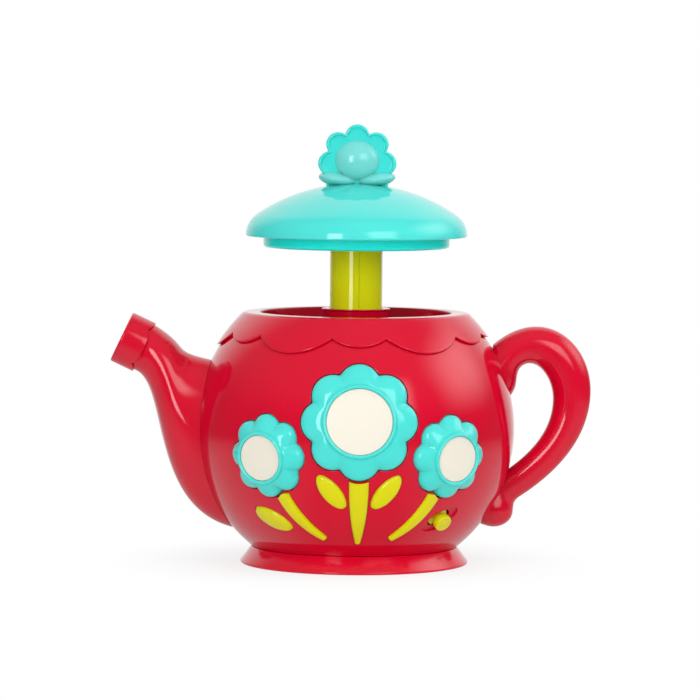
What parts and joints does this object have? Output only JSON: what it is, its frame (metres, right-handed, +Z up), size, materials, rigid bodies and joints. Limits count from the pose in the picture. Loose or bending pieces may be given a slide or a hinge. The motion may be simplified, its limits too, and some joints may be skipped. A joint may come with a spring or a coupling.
{
  "type": "toy teapot",
  "caption": "Round toy teapot with a sprung pump lid on a post, flower-shaped push buttons, a sliding power switch, a stubby spout and a looped handle.",
  "frame": {"origin": "middle of the foot's ring at table height, on the body's axis", "axes": "+Z up, -X towards the spout, +X towards the handle, -Y towards the flowers at the front"},
  "size_m": [0.2307, 0.1569, 0.2105],
  "materials": {
    "red_abs": "glossy moulded red",
    "turquoise_abs": "glossy moulded turquoise",
    "lime_abs": "glossy moulded yellow-green",
    "cream_abs": "smooth cream",
    "black_nylon": "matte",
    "grey_rubber": "matte",
    "circuit_board": "solder resist",
    "plated_steel": "zinc plated",
    "speaker_steel": "painted",
    "battery_can": "bare can"
  },
  "bodies": {
    "pot": {"front_shell": "red_abs", "back_shell": "red_abs", "top_collar": "red_abs", "base": "red_abs", "battery_door": "red_abs", "spout_front": "red_abs", "spout_back": "red_abs", "spout_tip": "red_abs", "handle_front": "red_abs", "handle_back": "red_abs", "lid_spring": "plated_steel", "centre_pad": "grey_rubber", "left_pad": "grey_rubber", "right_pad": "grey_rubber", "centre_board": "circuit_board", "left_board": "circuit_board", "right_board": "circuit_board", "switch_carrier": "black_nylon", "centre_stem": "lime_abs", "left_stem": "lime_abs", "right_stem": "lime_abs", "centre_left_leaf": "lime_abs", "centre_right_leaf": "lime_abs", "left_leaf": "lime_abs", "slide_switch": "black_nylon", "speaker": "speaker_steel", "main_board": "circuit_board", "battery_cells": "battery_can", "battery_contacts": "plated_steel", "case_screws": "plated_steel", "base_screws": "plated_steel", "door_screw": "plated_steel"},
    "lid": {"lid_dome": "turquoise_abs", "lid_plate": "turquoise_abs", "lid_knob": "turquoise_abs", "lid_post": "lime_abs", "post_ring": "black_nylon", "lid_screw": "plated_steel"},
    "centre_button": {"centre_petals": "turquoise_abs", "centre_disc": "cream_abs"},
    "left_button": {"left_petals": "turquoise_abs", "left_disc": "cream_abs"},
    "right_button": {"right_petals": "turquoise_abs", "right_disc": "cream_abs"},
    "power_slider": {"power_knob": "lime_abs"}
  },
  "joints": [
    {"name": "lid_press", "type": "slide", "parent": "pot", "child": "lid", "axis": [0, 0, -1], "range_m": [0, 0.036], "stiffness_N_per_m": 60, "springref_m": -0.035, "deforming": ["lid_spring"]},
    {"name": "centre_press", "type": "slide", "parent": "pot", "child": "centre_button", "axis": [0, 0.9925, -0.1219], "range_m": [0, 0.0024], "stiffness_N_per_m": 400, "springref_m": -0.002, "deforming": ["centre_pad"]},
    {"name": "left_press", "type": "slide", "parent": "pot", "child": "left_button", "axis": [0.5647, 0.8186, 0.1045], "range_m": [0, 0.0024], "stiffness_N_per_m": 400, "springref_m": -0.002, "deforming": ["left_pad"]},
    {"name": "right_press", "type": "slide", "parent": "pot", "child": "right_button", "axis": [-0.5647, 0.8186, 0.1045], "range_m": [0, 0.0024], "stiffness_N_per_m": 400, "springref_m": -0.002, "deforming": ["right_pad"]},
    {"name": "power_slide", "type": "slide", "parent": "pot", "child": "power_slider", "axis": [0.8531, 0.2898, 0.4339], "range_m": [-0.003, 0.003]}
  ]
}
